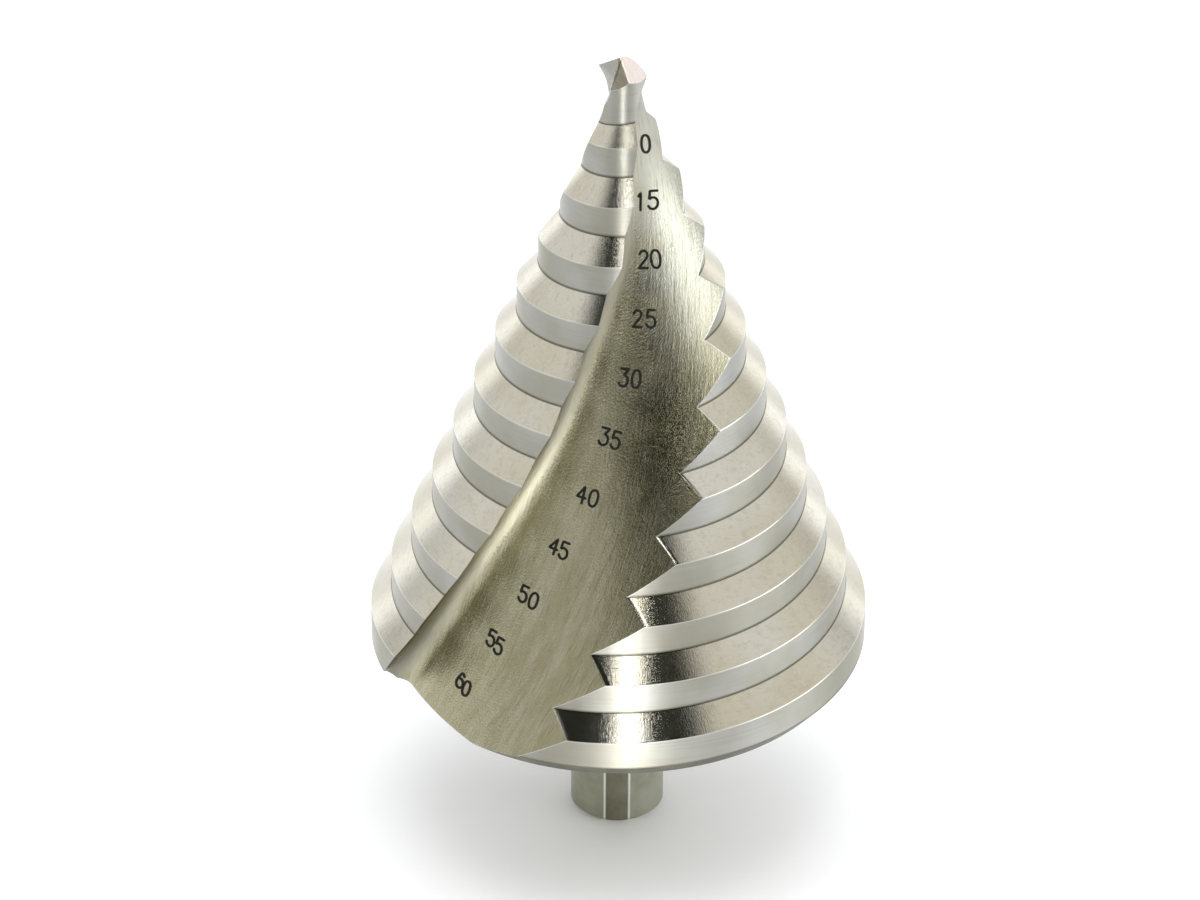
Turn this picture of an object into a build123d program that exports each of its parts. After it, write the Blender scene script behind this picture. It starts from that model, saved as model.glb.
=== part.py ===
from build123d import *
import math
import os

os.makedirs("parts", exist_ok=True)

# ---------------------------------------------------------------------------
# Two-flute spiral step drill, ground from one bar of high-speed steel.
# Millimetres.  Origin: centre of the shank's end face.  +Z: towards the tip.
# Azimuths are degrees from -Y, turning towards +X (seen from the tip this is
# counter-clockwise, the way a right-hand drill turns in use).
# ---------------------------------------------------------------------------

# --- shank
shank_d = 11.4            # shank diameter
shank_len = 23.2          # free length below the head
shank_flat_w = 2.9        # width of each of the three chuck flats
shank_chamfer = 0.5       # chamfer of the end edge

# --- stepped head
step_d = [60, 55, 50, 45, 40, 35, 30, 25, 20, 15, 10]   # diameters, base to tip
land_h = 3.715            # height of each cylindrical land at the cutting edge
cone_h = 2.606            # height of each conical shoulder (2.5 mm radial rise)
base_d = 55.6             # diameter of the flat underside
bevel_slope = 1.2         # height over width of the bevel between underside and rim
rim_top = 6.91            # top of the largest land above the underside
pitch = land_h + cone_h
relief_r = 0.73           # radial relief, mm in 100 degrees behind the edge at d 60
relief_z = 1.44           # axial relief of the shoulders, mm in 100 degrees at d 60

# --- pilot
pilot_d = 6.0
tip_z = 102.33            # overall length
point_h = 1.66            # height of the point above its outer corners
heel_h = 1.85             # drop of the first flank facet, 52 degrees behind the lip
back_h = 2.75             # drop of the second flank facet, 83 degrees behind the lip
chisel = 0.8              # length of the chisel edge

# --- flutes
head_z = shank_len
z_top60 = head_z + rim_top                    # top of the 60 land at the edge
env_slope = 2.5 / pitch                       # radius lost per mm on the envelope

# Tables against the height above the head's underside.
# (height, azimuth of the cutting edge on the envelope)
EDGE = [(-4.2, -73.2), (-0.2, -69.3), (6.91, -61.6), (13.24, -55.3), (19.56, -48.4),
        (25.88, -41.3), (32.20, -34.1), (38.52, -26.9), (44.84, -20.0),
        (51.16, -11.5), (57.48, 0.6), (63.80, 10.6), (70.13, 20.6),
        (72.30, 26.8), (73.60, 31.5), (75.00, 38.5), (76.30, 50.5), (77.60, 67.0),
        (79.80, 85.0)]
# (height, azimuth of the heel, radius of the heel)
HEEL = [(-4.2, -23.0, 32.54), (-0.2, -18.3, 31.03), (5.08, -11.4, 29.06), (11.56, -2.5, 26.63),
        (18.04, 7.9, 24.20), (24.50, 18.3, 21.76), (30.97, 30.3, 19.33),
        (37.47, 44.2, 16.91), (43.99, 62.0, 14.51), (50.42, 80.0, 12.06),
        (56.90, 95.5, 9.60), (63.30, 112.0, 7.16), (69.90, 127.0, 4.75),
        (72.60, 132.0, 3.30), (73.85, 134.0, 3.00), (75.20, 147.0, 2.95),
        (76.20, 152.0, 2.95), (79.80, 176.0, 2.95)]
# (height, length of the flat cutting face, radius of the gullet)
GULLET = [(-4.2, 2.6, 2.6), (37.8, 2.6, 2.6), (44.8, 2.55, 2.55), (51.2, 2.4, 2.4),
          (57.5, 2.2, 2.2), (63.8, 1.9, 1.85), (70.1, 1.5, 1.3), (73.3, 1.4, 0.75),
          (75.8, 1.6, 0.5), (77.5, 2.3, 0.32), (79.8, 2.6, 0.28)]
# (height, hook of the cutting face from the radial line)
HOOK = [(-4.2, 34.0), (20.0, 32.0), (34.8, 25.5), (47.4, 21.5), (53.8, 18.5),
        (60.1, 10.5), (66.4, -1.0), (71.8, -6.0), (79.8, -10.0)]
# (height, direction of the floor where it leaves the gullet, from the tangent)
FLOOR = [(-4.2, 4.0), (50.0, 4.0), (56.0, 8.0), (60.1, 14.0), (63.8, 22.0), (66.4, 28.0),
         (70.1, 33.0), (79.8, 35.0)]


def table(rows, x, col=1):
    """Smooth monotone interpolation of a table's column."""
    n = len(rows)
    xs = [r[0] for r in rows]
    ys = [r[col] for r in rows]
    d = [(ys[i + 1] - ys[i]) / (xs[i + 1] - xs[i]) for i in range(n - 1)]
    m = [d[0]] + [0.0 if d[i - 1] * d[i] <= 0 else 2 * d[i - 1] * d[i] / (d[i - 1] + d[i])
                  for i in range(1, n - 1)] + [d[-1]]
    x = min(max(x, xs[0]), xs[-1])
    i = max(k for k in range(n - 1) if xs[k] <= x)
    h = xs[i + 1] - xs[i]
    t = (x - xs[i]) / h
    return (ys[i] * (1 + 2 * t) * (1 - t) ** 2 + m[i] * h * t * (1 - t) ** 2
            + ys[i + 1] * t * t * (3 - 2 * t) + m[i + 1] * h * t * t * (t - 1))


def envelope(z):
    """Radius of the cone that touches the tops of all lands."""
    return max(30.0 - env_slope * (z - z_top60), pilot_d / 2)


def polar(r, az, z=0.0):
    a = math.radians(az)
    return Vector(r * math.sin(a), -r * math.cos(a), z)


def flute_section(z):
    """One flute's outline at height z, as a closed wire.

    Local frame: origin on the cutting edge, x towards the heel along the
    tangent, y towards the axis.
    """
    h = z - head_z
    az = table(EDGE, h)
    rc = envelope(z)
    wall = table(GULLET, h)
    rho = table(GULLET, h, 2)
    hook = math.radians(table(HOOK, h))
    f0 = math.radians(table(FLOOR, h))
    wx, wy = -math.sin(hook) * wall, math.cos(hook) * wall     # end of the flat wall
    cx, cy = wx + rho * math.cos(hook), wy + rho * math.sin(hook)
    a0 = math.pi + hook                                       # wall end seen from the centre
    a1 = math.pi / 2 + f0                                     # floor start
    am = 0.5 * (a0 + a1)
    gx, gy = cx + rho * math.cos(am), cy + rho * math.sin(am)
    jx, jy = cx + rho * math.cos(a1), cy + rho * math.sin(a1)
    # heel in the local frame
    d = math.radians(table(HEEL, h) - az)
    rh = table(HEEL, h, 2)
    hx, hy = rh * math.sin(d), rc - rh * math.cos(d)
    ch = math.hypot(hx - jx, hy - jy)
    beta = math.atan2(hy - jy, hx - jx) - f0
    kap = 2 * math.sin(beta) / ch                             # convex floor
    ext = 1.0 + (0.4 + 0.06 * rc) / ch                        # runs past the heel
    L = 2 * beta / kap * ext

    def floor(s):
        a = f0 + kap * s
        return (jx + (math.sin(a) - math.sin(f0)) / kap, jy - (math.cos(a) - math.cos(f0)) / kap)

    mx, my = floor(L / 2)
    ex, ey = floor(L)
    out = 3.0 + 0.05 * rc
    ox, oy = math.sin(hook) * out, -math.cos(hook) * out       # wall carried outwards
    far = 0.55 * d
    fr = (rc + out) / math.cos(0.5 * d) + 1.0
    fx, fy = fr * math.sin(far), rc - fr * math.cos(far)

    def world(x, y):
        p = Vector(x, -(rc - y), 0).rotate(Axis.Z, az)
        return Vector(p.X, p.Y, z)

    P = [world(*q) for q in ((ox, oy), (wx, wy), (gx, gy), (jx, jy), (mx, my), (ex, ey), (fx, fy))]
    return Wire([Edge.make_line(P[0], P[1]),
                 Edge.make_three_point_arc(P[1], P[2], P[3]),
                 Edge.make_three_point_arc(P[3], P[4], P[5]),
                 Edge.make_line(P[5], P[6]),
                 Edge.make_line(P[6], P[0])])


def behind(shape, az):
    """The half of a shape that lies behind azimuth az."""
    n = polar(1.0, az + 90)
    return shape.split(Plane(origin=(0, 0, 0), z_dir=n), keep=Keep.BOTTOM)


# --- stepped head, one side: each land and shoulder is relieved behind the
#     cutting edge, the lands by an offset axis, the shoulders by a tilt
parts = []
for i, dia in enumerate(step_d):
    r = dia / 2
    z_lt = z_top60 + i * pitch                    # top of the land at the edge
    az = table(EDGE, z_lt - head_z)
    cr = 0.7256 * relief_r * (r / 30) ** 0.55     # eccentricity
    cz = 0.7256 * relief_z * (r / 30) ** 0.72     # axial amplitude
    r0 = r - 0.906 * cr
    off = polar(cr, az + 25)
    z_lo = z_lt - land_h - 1.5
    if i == 0:
        prof = Polyline((0, head_z), (r0, head_z), (r0, z_lt + 6), (0, z_lt + 6), close=True)
    else:
        prof = Polyline((0, z_lo), (r0, z_lo), (r0, z_lt + 6), (0, z_lt + 6), close=True)
    face = make_face(Plane.XZ * prof)
    cyl = revolve(face, Axis.Z).solid().translate(off)
    # shoulder: a cone tilted about the line square to the relief direction
    r_next = step_d[i + 1] / 2 if i + 1 < len(step_d) else pilot_d / 2
    per = cone_h / 2.5
    top = r - r_next + (1.5 if i + 1 < len(step_d) else 1.2)
    cone = Solid.make_cone(r0 + 9, r0 - top, (9 + top) * per,
                           Plane(origin=(0, 0, z_lt - 0.906 * cz - 9 * per)))
    tilt_axis = Axis((0, 0, z_lt), polar(1, az + 25 + 90))
    cone = cone.rotate(tilt_axis, -math.degrees(math.atan(cz / r)))
    cone = cone.translate(off)
    step = cyl.intersect(cone)
    step = step.solid() if hasattr(step, "solid") else step[0]
    if i == 0:                                    # bevel under the rim, turned true
        bevel = Polyline((0, head_z), (base_d / 2, head_z),
                         (base_d / 2 + 6, head_z + 6 * bevel_slope), (0, head_z + 6 * bevel_slope + 9),
                         close=True)
        step = step.intersect(revolve(make_face(Plane.XZ * bevel), Axis.Z).solid())
        step = step.solid() if hasattr(step, "solid") else step[0]
    half = behind(step, az + 22)
    parts.append(half)
    parts.append(half.rotate(Axis.Z, 180))

# --- pilot with a four-facet split point
pr = pilot_d / 2
z_corner = tip_z - point_h
lip_az = table(EDGE, z_corner - head_z)
pilot = Solid.make_cylinder(pr, tip_z + 1 - (head_z + 66), Plane(origin=(0, 0, head_z + 66)))


def below(shape, p0, p1, p2):
    n = (p1 - p0).cross(p2 - p0)
    if n.Z < 0:
        n = n * -1
    return shape.split(Plane(origin=p0, z_dir=n), keep=Keep.BOTTOM)


centre = Vector(0, 0, tip_z)
for side in (0, 180):                             # two flank facets and two splitting facets
    lip = polar(pr, lip_az + side, z_corner)
    knee = polar(pr, lip_az + side - 52, tip_z - heel_h)
    pilot = below(pilot, centre, lip, knee)
    pilot = below(pilot, polar(chisel / 2, lip_az + side - 122, tip_z), knee,
                  polar(pr, lip_az + side - 83, tip_z - back_h))
parts.append(pilot)

# --- shank with three flats
sr = shank_d / 2
prof = Polyline((0, 0), (sr - shank_chamfer, 0), (sr, shank_chamfer), (sr, head_z + 2),
                (0, head_z + 2), close=True)
shank = revolve(make_face(Plane.XZ * prof), Axis.Z).solid()
depth = sr - math.sqrt(sr ** 2 - (shank_flat_w / 2) ** 2)
for a in (0, 120, 240):
    cut = Box(6, 4, head_z + 4, align=(Align.CENTER, Align.MAX, Align.MIN))
    cut = Pos(0, -(sr - depth), -1) * cut
    shank = shank.cut(cut.solid().rotate(Axis.Z, a)).solid()
parts.append(shank)

body = parts[0].fuse(*parts[1:])
body = body.clean()
body = body.solid() if hasattr(body, "solid") else body

# --- the two flutes
zs = [head_z - 1.5 + t for t in (0, 3, 6.5, 10, 14, 18, 22, 26, 30, 34, 38, 42, 46, 50, 54, 58, 61,
                                 64, 67, 69.5, 71.5, 73, 74.2, 75.3, 76.4, 77.5, 78.6, 79.7, 80.6)]
cutter = Solid.make_loft([flute_section(z) for z in zs])
drill = body.cut(cutter)
drill = drill.cut(cutter.rotate(Axis.Z, 180))
drill = max(drill.solids(), key=lambda s: s.volume)

print("volume", round(drill.volume, 1), "valid", drill.is_valid, "bbox", drill.bounding_box())
export_step(drill, "parts/step_drill.step")
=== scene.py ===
import math
import random
import bpy
from mathutils import Matrix, Vector
from mathutils.bvhtree import BVHTree


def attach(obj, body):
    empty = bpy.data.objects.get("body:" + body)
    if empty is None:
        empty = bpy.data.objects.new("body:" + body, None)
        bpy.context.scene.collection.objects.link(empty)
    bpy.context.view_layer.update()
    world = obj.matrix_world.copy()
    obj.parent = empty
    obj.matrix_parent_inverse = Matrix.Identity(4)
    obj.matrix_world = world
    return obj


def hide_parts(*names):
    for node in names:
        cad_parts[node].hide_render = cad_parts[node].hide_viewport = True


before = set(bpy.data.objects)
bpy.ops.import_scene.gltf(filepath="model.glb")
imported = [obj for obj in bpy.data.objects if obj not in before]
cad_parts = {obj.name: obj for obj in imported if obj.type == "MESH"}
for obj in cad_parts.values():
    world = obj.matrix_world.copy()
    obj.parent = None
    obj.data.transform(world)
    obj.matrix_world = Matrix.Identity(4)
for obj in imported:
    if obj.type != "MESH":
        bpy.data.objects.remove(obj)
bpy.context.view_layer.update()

# ---------------------------------------------------------------------------
# Two-flute spiral step drill.  All lengths below are millimetres; meshes are
# scaled to metres when they are made.  Azimuths are degrees from -Y towards +X.
# ---------------------------------------------------------------------------
MM = 0.001
SHANK_R, HEAD_Z, FLAT_W, SHANK_CH = 5.7, 23.2, 2.9, 0.5
STEP_D = [60, 55, 50, 45, 40, 35, 30, 25, 20, 15, 10]
LAND_H, CONE_H = 3.715, 2.606
PITCH = LAND_H + CONE_H
BASE_R, BEVEL_SLOPE, RIM_TOP = 27.8, 1.2, 6.91
RELIEF_R, RELIEF_Z = 0.73, 1.44
PILOT_R, TIP_Z = 3.0, 102.33
POINT_H, HEEL_H, BACK_H, CHISEL = 1.66, 1.85, 2.75, 0.8
Z_TOP60 = HEAD_Z + RIM_TOP
ENV_SLOPE = 2.5 / PITCH

EDGE = [(-4.2, -73.2), (-0.2, -69.3), (6.91, -61.6), (13.24, -55.3), (19.56, -48.4),
        (25.88, -41.3), (32.20, -34.1), (38.52, -26.9), (44.84, -20.0),
        (51.16, -11.5), (57.48, 0.6), (63.80, 10.6), (70.13, 20.6),
        (72.30, 26.8), (73.60, 31.5), (75.00, 38.5), (76.30, 50.5), (77.60, 67.0),
        (79.80, 85.0)]
HEEL = [(-4.2, -23.0, 32.54), (-0.2, -18.3, 31.03), (5.08, -11.4, 29.06), (11.56, -2.5, 26.63),
        (18.04, 7.9, 24.20), (24.50, 18.3, 21.76), (30.97, 30.3, 19.33),
        (37.47, 44.2, 16.91), (43.99, 62.0, 14.51), (50.42, 80.0, 12.06),
        (56.90, 95.5, 9.60), (63.30, 112.0, 7.16), (69.90, 127.0, 4.75),
        (72.60, 132.0, 3.30), (73.85, 134.0, 3.00), (75.20, 147.0, 2.95),
        (76.20, 152.0, 2.95), (79.80, 176.0, 2.95)]
GULLET = [(-4.2, 2.6, 2.6), (37.8, 2.6, 2.6), (44.8, 2.55, 2.55), (51.2, 2.4, 2.4),
          (57.5, 2.2, 2.2), (63.8, 1.9, 1.85), (70.1, 1.5, 1.3), (73.3, 1.4, 0.75),
          (75.8, 1.6, 0.5), (77.5, 2.3, 0.32), (79.8, 2.6, 0.28)]
HOOK = [(-4.2, 34.0), (20.0, 32.0), (34.8, 25.5), (47.4, 21.5), (53.8, 18.5),
        (60.1, 10.5), (66.4, -1.0), (71.8, -6.0), (79.8, -10.0)]
FLOOR = [(-4.2, 4.0), (50.0, 4.0), (56.0, 8.0), (60.1, 14.0), (63.8, 22.0), (66.4, 28.0),
         (70.1, 33.0), (79.8, 35.0)]


def table(rows, x, col=1):
    n = len(rows)
    xs = [r[0] for r in rows]
    ys = [r[col] for r in rows]
    d = [(ys[i + 1] - ys[i]) / (xs[i + 1] - xs[i]) for i in range(n - 1)]
    m = [d[0]] + [0.0 if d[i - 1] * d[i] <= 0 else 2 * d[i - 1] * d[i] / (d[i - 1] + d[i])
                  for i in range(1, n - 1)] + [d[-1]]
    x = min(max(x, xs[0]), xs[-1])
    i = max(k for k in range(n - 1) if xs[k] <= x)
    h = xs[i + 1] - xs[i]
    t = (x - xs[i]) / h
    return (ys[i] * (1 + 2 * t) * (1 - t) ** 2 + m[i] * h * t * (1 - t) ** 2
            + ys[i + 1] * t * t * (3 - 2 * t) + m[i + 1] * h * t * t * (t - 1))


# the tables, sampled once every 0.02 mm
_N = 4300
_T = {}
for _name, _rows, _col in (("edge", EDGE, 1), ("heel", HEEL, 1), ("rh", HEEL, 2), ("wall", GULLET, 1),
                           ("rho", GULLET, 2), ("hook", HOOK, 1), ("f0", FLOOR, 1)):
    _T[_name] = [table(_rows, -5.0 + 0.02 * k, _col) for k in range(_N)]


def at(name, z):
    k = (z - HEAD_Z + 5.0) / 0.02
    k = min(max(k, 0.0), _N - 2.001)
    i = int(k)
    f = k - i
    a = _T[name]
    return a[i] * (1 - f) + a[i + 1] * f


class Flute:
    """One flute's outline at height z, as a curve u: wall 0..1, gullet 1..2, floor 2..3+."""

    def __init__(self, z):
        self.z = z
        self.az = at("edge", z)
        self.rc = rc = max(30.0 - ENV_SLOPE * (z - Z_TOP60), PILOT_R)
        self.wall = wall = at("wall", z)
        self.rho = rho = at("rho", z)
        self.hook = hook = math.radians(at("hook", z))
        self.f0 = f0 = math.radians(at("f0", z))
        self.w = (-math.sin(hook) * wall, math.cos(hook) * wall)
        self.c = (self.w[0] + rho * math.cos(hook), self.w[1] + rho * math.sin(hook))
        self.a0 = math.pi + hook
        self.a1 = math.pi / 2 + f0
        self.j = (self.c[0] + rho * math.cos(self.a1), self.c[1] + rho * math.sin(self.a1))
        d = math.radians(at("heel", z) - self.az)
        rh = at("rh", z)
        h = (rh * math.sin(d), rc - rh * math.cos(d))
        self.ch = math.hypot(h[0] - self.j[0], h[1] - self.j[1])
        beta = math.atan2(h[1] - self.j[1], h[0] - self.j[0]) - f0
        self.kap = 2 * math.sin(beta) / self.ch
        self.L0 = 2 * beta / self.kap
        self.ext = 1.0 + (0.4 + 0.06 * rc) / self.ch

    def local(self, u):
        if u <= 1.0:
            return (self.w[0] * u, self.w[1] * u)
        if u <= 2.0:
            a = self.a0 + (self.a1 - self.a0) * (u - 1.0)
            return (self.c[0] + self.rho * math.cos(a), self.c[1] + self.rho * math.sin(a))
        s = (u - 2.0) * self.L0
        a = self.f0 + self.kap * s
        return (self.j[0] + (math.sin(a) - math.sin(self.f0)) / self.kap,
                self.j[1] - (math.cos(a) - math.cos(self.f0)) / self.kap)

    def point(self, u):
        x, y = self.local(u)
        px, py = x, -(self.rc - y)
        a = math.radians(self.az)
        ca, sa = math.cos(a), math.sin(a)
        return (px * ca - py * sa, px * sa + py * ca)

    def length(self, u):
        """Arc length from the edge to u."""
        if u <= 1.0:
            return self.wall * u
        g = abs(self.a1 - self.a0) * self.rho
        if u <= 2.0:
            return self.wall + g * (u - 1.0)
        return self.wall + g + self.L0 * (u - 2.0)

    def at_length(self, s):
        if s <= self.wall:
            return s / self.wall
        g = abs(self.a1 - self.a0) * self.rho
        if s <= self.wall + g:
            return 1.0 + (s - self.wall) / g
        return 2.0 + (s - self.wall - g) / self.L0


def azimuth(x, y):
    return math.degrees(math.atan2(x, -y))


def near(t, ref):
    """t moved by whole turns to lie within half a turn of ref."""
    return t + 360.0 * round((ref - t) / 360.0)


# --- relieved steps -----------------------------------------------------------
STEPS = []
for i, dia in enumerate(STEP_D):
    r = dia / 2
    z_lt = Z_TOP60 + i * PITCH
    STEPS.append(dict(r=r, z_lt=z_lt, az=table(EDGE, z_lt - HEAD_Z),
                      cr=0.7256 * RELIEF_R * (r / 30) ** 0.55, cz=0.7256 * RELIEF_Z * (r / 30) ** 0.72))


def side_angle(step, t, side):
    """Angle of t from the step's relief direction, for the side (0 or 180) it belongs to."""
    return math.radians(t - side - step["az"] - 25.0)


def radius(i, t, side):
    if i >= len(STEPS):
        return PILOT_R
    s = STEPS[i]
    a = side_angle(s, t, side)
    r0 = s["r"] - 0.906 * s["cr"]
    return s["cr"] * math.cos(a) + math.sqrt(max(r0 * r0 - (s["cr"] * math.sin(a)) ** 2, 0.0))


def z_top(i, t, side):
    s = STEPS[i]
    return s["z_lt"] - s["cz"] * (0.906 - math.cos(side_angle(s, t, side)))


def z_foot(i, t, side):
    """Height where step i's land leaves the shoulder below it."""
    if i == 0:
        return HEAD_Z + (radius(0, t, side) - BASE_R) * BEVEL_SLOPE
    dr = radius(i - 1, t, side) - radius(i, t, side)
    return z_top(i - 1, t, side) + dr * CONE_H / 2.5


def planes():
    out = []
    lip_az = table(EDGE, TIP_Z - POINT_H - HEAD_Z)
    for side in (0.0, 180.0):
        def pol(r, az, z):
            a = math.radians(az)
            return Vector((r * math.sin(a), -r * math.cos(a), z))
        lip = pol(PILOT_R, lip_az + side, TIP_Z - POINT_H)
        knee = pol(PILOT_R, lip_az + side - 52, TIP_Z - HEEL_H)
        back = pol(PILOT_R, lip_az + side - 83, TIP_Z - BACK_H)
        chisel = pol(CHISEL / 2, lip_az + side - 122, TIP_Z)
        for p0, p1, p2 in ((Vector((0, 0, TIP_Z)), lip, knee), (chisel, knee, back)):
            n = (p1 - p0).cross(p2 - p0)
            if n.z < 0:
                n = -n
            out.append((p0, n))
    return out


PLANES = planes()


def split_side(x, y):
    """True where the ground point is one of its two splitting facets."""
    h = [p.z - (n.x * (x - p.x) + n.y * (y - p.y)) / n.z for p, n in PLANES]
    return h.index(min(h)) in (1, 3)


def z_point(x, y):
    """Height of the ground point over (x, y)."""
    return min(p.z - (n.x * (x - p.x) + n.y * (y - p.y)) / n.z for p, n in PLANES)


# ---------------------------------------------------------------------------
# Rows: lines that run round the drill at one place of its profile.
# Each row gives (height, radius) at azimuth t on one side.
# ---------------------------------------------------------------------------
ROUND = 0.07      # half width of the broken edge at the top of each land
FINE = 0.03


def row_bevel(v):
    def f(t, side):
        r = BASE_R + (radius(0, t, side) - BASE_R) * v
        return HEAD_Z + (r - BASE_R) * BEVEL_SLOPE, r
    return f


def row_land(i, v, off=0.0):
    def f(t, side):
        a, b = z_foot(i, t, side), z_top(i, t, side)
        return a + (b - a) * v + off, radius(i, t, side)
    return f


def row_cone(i, v, off=0.0):
    def f(t, side):
        ra, rb = radius(i, t, side), radius(i + 1, t, side)
        a, b = z_top(i, t, side), z_foot(i + 1, t, side)
        k = v + off / math.hypot(rb - ra, b - a)
        return a + (b - a) * k, ra + (rb - ra) * k
    return f


def row_crest(i):
    """Middle of the broken edge between land i and the shoulder above it."""
    lo, hi = row_land(i, 1.0, -ROUND), row_cone(i, 0.0, ROUND)

    def f(t, side):
        (za, ra), (zb, rb) = lo(t, side), hi(t, side)
        zm, rm = 0.5 * (za + zb), 0.5 * (ra + rb)
        return zm + 0.012, rm + 0.012
    return f


def row_pilot(v):
    def f(t, side):
        a = z_foot(len(STEPS), t, side)
        q = math.radians(t)
        b = z_point(PILOT_R * math.sin(q), -PILOT_R * math.cos(q))
        return a + (b - a) * v, PILOT_R
    return f


# (row, kind of the band that ends at this row, distance to the foot corner, distance to the crest, pilot fraction)
ROWS = []


def add_row(f, kind, foot, crest, pv=None):
    ROWS.append((f, kind, foot, crest, pv))


def spread(n, a=0.0, b=1.0):
    return [a + (b - a) * k / n for k in range(n + 1)]


SLANT = math.hypot(2.5, CONE_H)
for k, v in enumerate([0.0, 0.02, 0.2, 0.4, 0.6, 0.8, 0.98]):
    add_row(row_bevel(v), "rim", 9.0, 2.7 * (1 - v))
for i in range(len(STEPS)):
    add_row(row_land(i, 0.0), "rim" if i == 0 else "cone", 0.0, LAND_H)
    add_row(row_land(i, 0.0, FINE), "land", FINE, LAND_H - FINE)
    for v in (0.08, 0.22, 0.38, 0.54, 0.70, 0.85):
        add_row(row_land(i, v), "land", LAND_H * v, LAND_H * (1 - v))
    add_row(row_land(i, 1.0, -ROUND - FINE), "land", LAND_H, ROUND + FINE)
    add_row(row_land(i, 1.0, -ROUND), "land", LAND_H, ROUND)
    add_row(row_crest(i), "land", LAND_H, 0.0)
    add_row(row_cone(i, 0.0, ROUND), "cone", SLANT, ROUND)
    add_row(row_cone(i, 0.0, ROUND + FINE), "cone", SLANT, ROUND + FINE)
    for v in (0.08, 0.22, 0.38, 0.54, 0.70, 0.85, 0.95):
        add_row(row_cone(i, v), "cone", SLANT * (1 - v), SLANT * v)
    add_row(row_cone(i, 1.0, -FINE), "cone", FINE, SLANT)
n11 = len(ROWS)
for k, v in enumerate([0.0, 0.006, 0.08, 0.2, 0.32, 0.44, 0.56, 0.68, 0.8, 0.88, 0.94, 0.98, 0.996, 1.0]):
    add_row(row_pilot(v), "cone" if k == 0 else "land", 7.0 * v, 7.0 * (1 - v), v)

N_OUT, N_FL = 88, 80      # columns over a land, and over a flute


def solve(row, which):
    """Where a row meets the flute: (height, u, azimuth), at the cutting edge or at the heel."""
    side = 0.0 if which == "edge" else 180.0
    z = None
    for guess in (0.0,):
        t = -60.0
        for _ in range(6):
            z = row(t, side)[0]
            t = at("edge", z) if which == "edge" else at("heel", z)
    u = t
    for _ in range(12):
        fl = Flute(z)
        if which == "edge":
            lo, hi = -1.6 / fl.wall, 1.92
        else:
            lo, hi = 2.15, 2.0 + fl.ext + 0.35

        def g(q):
            x, y = fl.point(q)
            return math.hypot(x, y) - row(near(azimuth(x, y), t), side)[1]
        s = 1.0 if which == "edge" else -1.0
        for _ in range(34):
            mid = 0.5 * (lo + hi)
            if s * g(mid) > 0:
                lo = mid
            else:
                hi = mid
        u = 0.5 * (lo + hi)
        x, y = fl.point(u)
        t = near(azimuth(x, y), t)
        zn = row(t, side)[0]
        if abs(zn - z) < 1e-6:
            break
        z = zn
    return z, u, t


verts, faces, kinds, corner_a, corner_b = [], [], [], [], []


def vert(x, y, z):
    verts.append((x, y, z))
    return len(verts) - 1


def quad(ids, kind, a, b):
    """A face with its finish and two vector attributes per corner, in mm."""
    keep = [k for k in range(len(ids)) if ids[k] != ids[k - 1]]
    if len(keep) < 3:
        return
    faces.append([ids[k] for k in keep])
    kinds.append(kind)
    corner_a.extend([a[k] for k in keep])
    corner_b.extend([b[k] for k in keep])


ends = [(solve(r[0], "edge"), solve(r[0], "heel")) for r in ROWS]

flute_ids = {0: [], 1: []}      # per side, per row: vertex ids from the edge to the heel
flute_att = []
for k, (row, kind, foot, crest, pv) in enumerate(ROWS):
    (ze, ue, te), (zh, uh, th) = ends[k]
    pts, att = [], []
    for j in range(N_FL + 1):
        w = j / N_FL
        z = ze + (zh - ze) * w
        if pv is not None and 0 < j < N_FL:
            b_e, b_h = ends[n11][0][0], ends[n11][1][0]
            zb = b_e + (b_h - b_e) * w
            zt = ends[-1][0][0] + (ends[-1][1][0] - ends[-1][0][0]) * w
            for _ in range(10):
                fl = Flute(zt)
                s = fl.length(ends[-1][0][1]) * (1 - w) + fl.length(ends[-1][1][1]) * w
                zt = z_point(*fl.point(fl.at_length(s)))
            top_line = ends[-1][0][0] + (ends[-1][1][0] - ends[-1][0][0]) * w
            z = z + pv * (zt - top_line)
        fl = Flute(z)
        s0, s1 = fl.length(ue), fl.length(uh)
        s = s0 + (s1 - s0) * w
        x, y = fl.point(fl.at_length(s))
        pts.append((x, y, z))
        att.append((s, z, s1 - s))
    for sd in (0, 1):
        m = 1 if sd == 0 else -1
        flute_ids[sd].append([vert(m * x, m * y, z) for x, y, z in pts])
    flute_att.append(att)

land_ids = {0: [], 1: []}       # per side, per row: from the heel of the other flute to the edge
land_t = []
for k, (row, kind, foot, crest, pv) in enumerate(ROWS):
    (ze, ue, te), (zh, uh, th) = ends[k]
    t0, t1 = th - 180.0, te
    line = {0: [flute_ids[1][k][-1]], 1: [flute_ids[0][k][-1]]}
    ts = [t0]
    for j in range(1, N_OUT):
        t = t0 + (t1 - t0) * j / N_OUT
        z, r = row(t, 0.0)
        q = math.radians(t)
        ts.append(t)
        for sd in (0, 1):
            m = 1 if sd == 0 else -1
            line[sd].append(vert(m * r * math.sin(q), -m * r * math.cos(q), z))
    ts.append(t1)
    for sd in (0, 1):
        line[sd].append(flute_ids[sd][k][0])
        land_ids[sd].append(line[sd])
    land_t.append(ts)

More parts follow.
